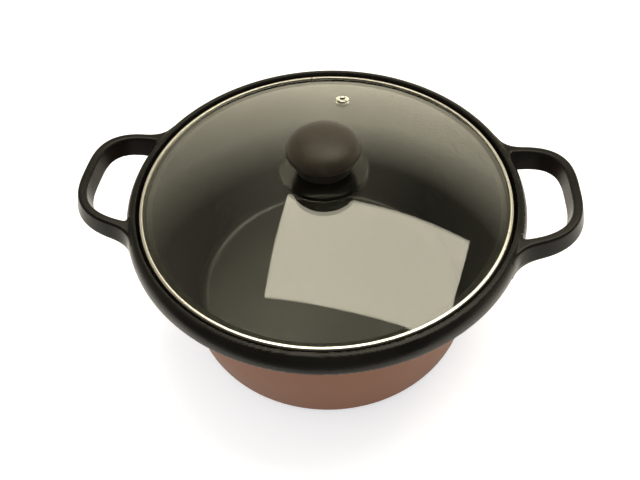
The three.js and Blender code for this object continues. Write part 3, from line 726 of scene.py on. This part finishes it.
foot_moulding, tree, shader = finish_of("knob foot moulding")
skin = placed(tree, coat_skin, Grain=1700.0, Patches=60.0)
dressed(
    tree, shader, skin.outputs["Handled"],
    colours=((0.0105, 0.0088, 0.0066, 1), (0.0155, 0.013, 0.01, 1)), roughness=(0.38, 0.5),
)
shader.inputs["Specular IOR Level"].default_value = 0.22
bumped(tree, shader, skin.outputs["Height"], 0.00005)
foot.data.materials.append(foot_moulding)
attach(foot, "lid")
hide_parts("knob_foot")

# Knob cap: a flattened round grip, moulded with a soft-touch dark brown skin.
# It is pressed and glued on to the foot's spigot.
CAP_LOW, CAP_OUT, CAP_UNDER = FOOT_TOP + CLEAR, 23.1, 18.4
CAP_BORE, CAP_BORE_TOP, CAP_CHAMFER = SPIGOT_OUT + CLEAR, SPIGOT_TOP + CLEAR, 0.3
CAP_SIDE, CAP_RISE, CAP_POWER = 2.4, 10.3, 2.3
CAP_RIM = CAP_LOW + CAP_SIDE
lower = [(CAP_UNDER + (CAP_OUT - CAP_UNDER) * math.cos(a), CAP_RIM + CAP_SIDE * math.sin(a))
         for a in np.radians(np.linspace(-82, -8, 9))]
upper = [(CAP_OUT * math.cos(a) ** (2 / CAP_POWER), CAP_RIM + CAP_RISE * math.sin(a) ** (2 / CAP_POWER))
         for a in np.radians(np.linspace(0, 88.5, 40))]
cap = turned("knob_grip", [
    (0, CAP_BORE_TOP), (CAP_BORE, CAP_BORE_TOP), (CAP_BORE, CAP_LOW + CAP_CHAMFER),
    (CAP_BORE + CAP_CHAMFER, CAP_LOW), (CAP_UNDER, CAP_LOW), *lower, *upper, (0, CAP_RIM + CAP_RISE),
], steps=144, sharp=40)
soft_touch, tree, shader = finish_of("soft-touch brown")
skin = placed(tree, coat_skin, Grain=2000.0, Patches=70.0)
dressed(
    tree, shader, skin.outputs["Handled"],
    colours=((0.0185, 0.0138, 0.0078, 1), (0.0265, 0.02, 0.0115, 1)), roughness=(0.42, 0.52),
    flecks=(skin.outputs["Fleck"], 0.3, (0.045, 0.034, 0.023, 1)),
)
shader.inputs["Specular IOR Level"].default_value = 0.28
bumped(tree, shader, skin.outputs["Height"], 0.00008)
cap.data.materials.append(soft_touch)
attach(cap, "lid")
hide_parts("knob_cap")

# Knob insert: a turned brass sleeve set in the foot's boss.
# The collar on its top takes the pull of the knob screw.
COLLAR_HEIGHT = 2.0
INSERT_TOP = COLLAR_LOW + COLLAR_HEIGHT
insert = turned("brass_sleeve", section([
    (SCREW_BORE, BOSS_LOW, 0.2), (INSERT_OUT, BOSS_LOW, 0.2), (INSERT_OUT, COLLAR_LOW, 0.1),
    (COLLAR_OUT, COLLAR_LOW, 0.2), (COLLAR_OUT, INSERT_TOP, 0.3), (SCREW_BORE, INSERT_TOP, 0.2),
], steps=3), steps=64)
turned_brass, tree, shader = finish_of("turned brass")
marks = placed(tree, turning_marks, Pitch=0.0003)
dressed(
    tree, shader, marks.outputs["Streak"],
    colours=((0.5, 0.31, 0.09, 1), (0.66, 0.44, 0.16, 1)), roughness=(0.2, 0.34),
)
shader.inputs["Metallic"].default_value = 1.0
insert.data.materials.append(turned_brass)
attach(insert, "lid")
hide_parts("knob_insert")

# Under the glass: a black silicone gasket dished to the dome, a plain steel washer and the knob screw.
# The screw goes up through them, the glass and the pad into the brass sleeve.
GASKET_TOP, GASKET_OUT, GASKET = DOME_TOP - GLASS - CLEAR, 9.5, 1.2
WASHER_TOP, WASHER_OUT, WASHER = GASKET_TOP - GASKET - CLEAR, 8.0, 1.0
HEAD_SEAT, KNOB_HEAD_OUT, KNOB_HEAD, KNOB_SHANK = WASHER_TOP - WASHER - CLEAR, 4.2, 2.6, 2.0
KNOB_CROWN, KNOB_SLOT, KNOB_SLOT_DEPTH, GASKET_CHAMFER = 1.2, 4.6, 1.3, 0.2
gasket_low, knob_head_low = GASKET_TOP - GASKET, HEAD_SEAT - KNOB_HEAD
gasket = turned("knob_seal", [
    (SCREW_BORE, gasket_low), (GASKET_OUT - GASKET_CHAMFER, gasket_low),
    (GASKET_OUT, gasket_low + GASKET_CHAMFER), *dome(UNDER_GLASS - CLEAR, GASKET_OUT, SCREW_BORE, 4),
], steps=96)
black_silicone, tree, shader = finish_of("black silicone")
skin = placed(tree, coat_skin, Grain=1300.0, Patches=80.0)
dressed(
    tree, shader, skin.outputs["Handled"],
    colours=((0.02, 0.02, 0.019, 1), (0.032, 0.031, 0.029, 1)), roughness=(0.55, 0.7),
)
bumped(tree, shader, skin.outputs["Height"], 0.00004)
gasket.data.materials.append(black_silicone)
washer = turned("knob_flat_washer", section([
    (SCREW_BORE, WASHER_TOP - WASHER, 0.15), (WASHER_OUT, WASHER_TOP - WASHER, 0.3),
    (WASHER_OUT, WASHER_TOP, 0.3), (SCREW_BORE, WASHER_TOP, 0.15),
], steps=3), steps=80)
washer.data.materials.append(ground_steel)
knob_screw = cross_slotted("knob_fixing_screw", section([
    (0, knob_head_low, 0), (KNOB_HEAD_OUT - KNOB_CROWN, knob_head_low, 0.8),
    (KNOB_HEAD_OUT, HEAD_SEAT - KNOB_HEAD / 2, 0.9), (KNOB_HEAD_OUT, HEAD_SEAT, 0.2),
    (KNOB_SHANK, HEAD_SEAT, 0.15), (KNOB_SHANK, COLLAR_LOW, 0.4), (0, COLLAR_LOW, 0),
], steps=4), KNOB_SLOT, KNOB_SLOT_DEPTH, knob_head_low, steps=40)
knob_screw.data.materials.clear()
knob_screw.data.materials.append(plated_steel)
for piece, node, finish_slot in (
    (gasket, "knob_gasket", "black_rubber"),
    (washer, "knob_washer", "plain_steel"),
    (knob_screw, "knob_screw", "plain_steel"),
):
    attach(piece, "lid")
    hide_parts(node)

# Studio floor: a plain pale sheet under the pot. It is lifted to white for the camera and for reflections,
# and the pot's own shadow stays on it.
FLOOR_SIDE, FLOOR_FRONT, FLOOR_BACK, FLOOR_Z, FLOOR_LIFT = 3.0, -0.24, 3.5, -0.0002, 0.5
floor_mesh = bmesh.new()
floor_mesh.faces.new([floor_mesh.verts.new(corner) for corner in (
    (-FLOOR_SIDE, FLOOR_FRONT, FLOOR_Z), (FLOOR_SIDE, FLOOR_FRONT, FLOOR_Z),
    (FLOOR_SIDE, FLOOR_BACK, FLOOR_Z), (-FLOOR_SIDE, FLOOR_BACK, FLOOR_Z),
)])
floor = finished("studio_floor", floor_mesh)
pale_floor, tree, shader = finish_of("pale floor")
shader.inputs["Base Color"].default_value = (0.84, 0.83, 0.81, 1)
shader.inputs["Roughness"].default_value = 0.9
shader.inputs["Specular IOR Level"].default_value = 0.0


def ray_kinds(tree):
    """Two shares: 1 for rays from the camera, and 1 for those that a shiny or clear finish sends on."""
    path = add_node(tree, "ShaderNodeLightPath").outputs
    return path["Is Camera Ray"], maths(tree, "MAXIMUM", path["Is Glossy Ray"], path["Is Transmission Ray"])


by_camera, sent_on = ray_kinds(tree)
lift_colour = blended(tree, by_camera, (1.0, 0.93, 0.8, 1), (0.9, 0.94, 1.0, 1))
lift = maths(tree, "MULTIPLY", maths(tree, "MAXIMUM", by_camera, sent_on), FLOOR_LIFT)
tree.links.new(lift_colour, shader.inputs["Emission Color"])
tree.links.new(lift, shader.inputs["Emission Strength"])
floor.data.materials.append(pale_floor)

# Studio light: a large softbox overhead, behind the pot and tilted towards it, and a pale surround.
# In reflections the surround is dark overhead and in front, so that the glass shows the softbox
# and the pale walls and not a grey veil.
SOFTBOX_WIDE, SOFTBOX_DEEP, SOFTBOX_POWER = 0.95, 0.62, 9.9
SOFTBOX_AT, SOFTBOX_TURN, SOFTBOX_TILT = (0.17, 0.285, 1.08), math.radians(-8), math.radians(-17)
softbox = bpy.data.lights.new("overhead_softbox", "AREA")
softbox.shape = "RECTANGLE"
softbox.size, softbox.size_y = SOFTBOX_WIDE, SOFTBOX_DEEP
softbox.energy = SOFTBOX_POWER
softbox.color = (1.0, 0.93, 0.73)
overhead = bpy.data.objects.new("overhead_softbox", softbox)
aimed = Matrix.Rotation(SOFTBOX_TURN, 4, "Z") @ Matrix.Rotation(SOFTBOX_TILT, 4, "X")
overhead.matrix_world = Matrix.Translation(SOFTBOX_AT) @ aimed
overhead.visible_camera = False
bpy.context.scene.collection.objects.link(overhead)

world = bpy.data.worlds.new("pale surround")
bpy.context.scene.world = world
world.use_nodes = True
tree = world.node_tree
backdrop = tree.nodes["Background"]
toward = add_node(tree, "ShaderNodeSeparateXYZ", {
    "Vector": add_node(tree, "ShaderNodeTexCoord").outputs["Generated"],
}).outputs


def between(tree, share, first, second):
    """A value between two others."""
    return add_node(tree, "ShaderNodeMix", {"Factor": share, 2: first, 3: second}).outputs[0]


overhead_share = ramp(tree, toward["Z"], 0.42, 0.66, 0.0, 1.0)
walls = ramp(tree, toward["X"], 0.25, 0.7, 1.0, 0.7)
walls = maths(tree, "MULTIPLY", ramp(tree, toward["X"], -0.6, -0.1, 0.9, 1.8), walls)
ceiling = ramp(tree, toward["X"], -0.15, 0.3, 0.45, 0.13)
ceiling = maths(tree, "MULTIPLY", ramp(tree, toward["X"], -0.5, -0.25, 0.5, 1.0), ceiling)
mirrored = between(tree, overhead_share, walls, ceiling)
mirrored = maths(tree, "MULTIPLY", mirrored, ramp(tree, toward["Y"], -0.3, 0.05, 0.1, 1.0))
diffused = ramp(tree, toward["X"], -1.0, 1.0, 1.0, 0.6)
by_camera, sent_on = ray_kinds(tree)
strength = between(tree, by_camera, between(tree, sent_on, diffused, mirrored), 1.0)
tint = blended(tree, sent_on, (1.0, 0.985, 0.95, 1), (1.0, 0.92, 0.69, 1))
tint = blended(tree, by_camera, tint, (1.0, 1.0, 1.0, 1))
tree.links.new(strength, backdrop.inputs["Strength"])
tree.links.new(tint, backdrop.inputs["Color"])
bpy.context.scene.view_settings.view_transform = "Standard"

# Camera: a little in front of the pot and above it, close, with a moderately wide lens.
# Its place, pan, tilt and lean come from the round edges of the lid, the rim and the foot.
FRAME_PIXELS, FOCAL_PIXELS, SHIFT_PIXELS, SENSOR = 640, 612, 6.5, 36.0
EYE_DISTANCE, RISE, SIDE_TURN = 398.63, math.radians(45.464), math.radians(6.6)
PAN, TILT, LEAN = math.radians(-0.6771), math.radians(-5.5334), math.radians(-3.219)
to_lid = Vector((0, math.cos(RISE), -math.sin(RISE)))
upward = Vector((0, math.sin(RISE), math.cos(RISE)))
ahead = (to_lid + Vector((math.tan(PAN), 0, 0)) + upward * math.tan(TILT)).normalized()
right = ahead.cross(Vector((0, 0, 1))).normalized()
above = right.cross(ahead)
camera_x = right * math.cos(LEAN) + above * math.sin(LEAN)
camera_y = above * math.cos(LEAN) - right * math.sin(LEAN)
facing = Matrix((camera_x, camera_y, -ahead)).transposed().to_4x4()
lens = bpy.data.cameras.new("photo_camera")
lens.sensor_width = SENSOR
lens.lens = FOCAL_PIXELS / FRAME_PIXELS * SENSOR
lens.shift_y = SHIFT_PIXELS / FRAME_PIXELS
lens.clip_start = 0.01
camera = bpy.data.objects.new("photo_camera", lens)
round_pot = Matrix.Translation((0, 0, LID_TOP * MM)) @ Matrix.Rotation(SIDE_TURN, 4, "Z")
camera.matrix_world = round_pot @ Matrix.Translation(to_lid * (-EYE_DISTANCE * MM)) @ facing
bpy.context.scene.collection.objects.link(camera)
bpy.context.scene.camera = camera
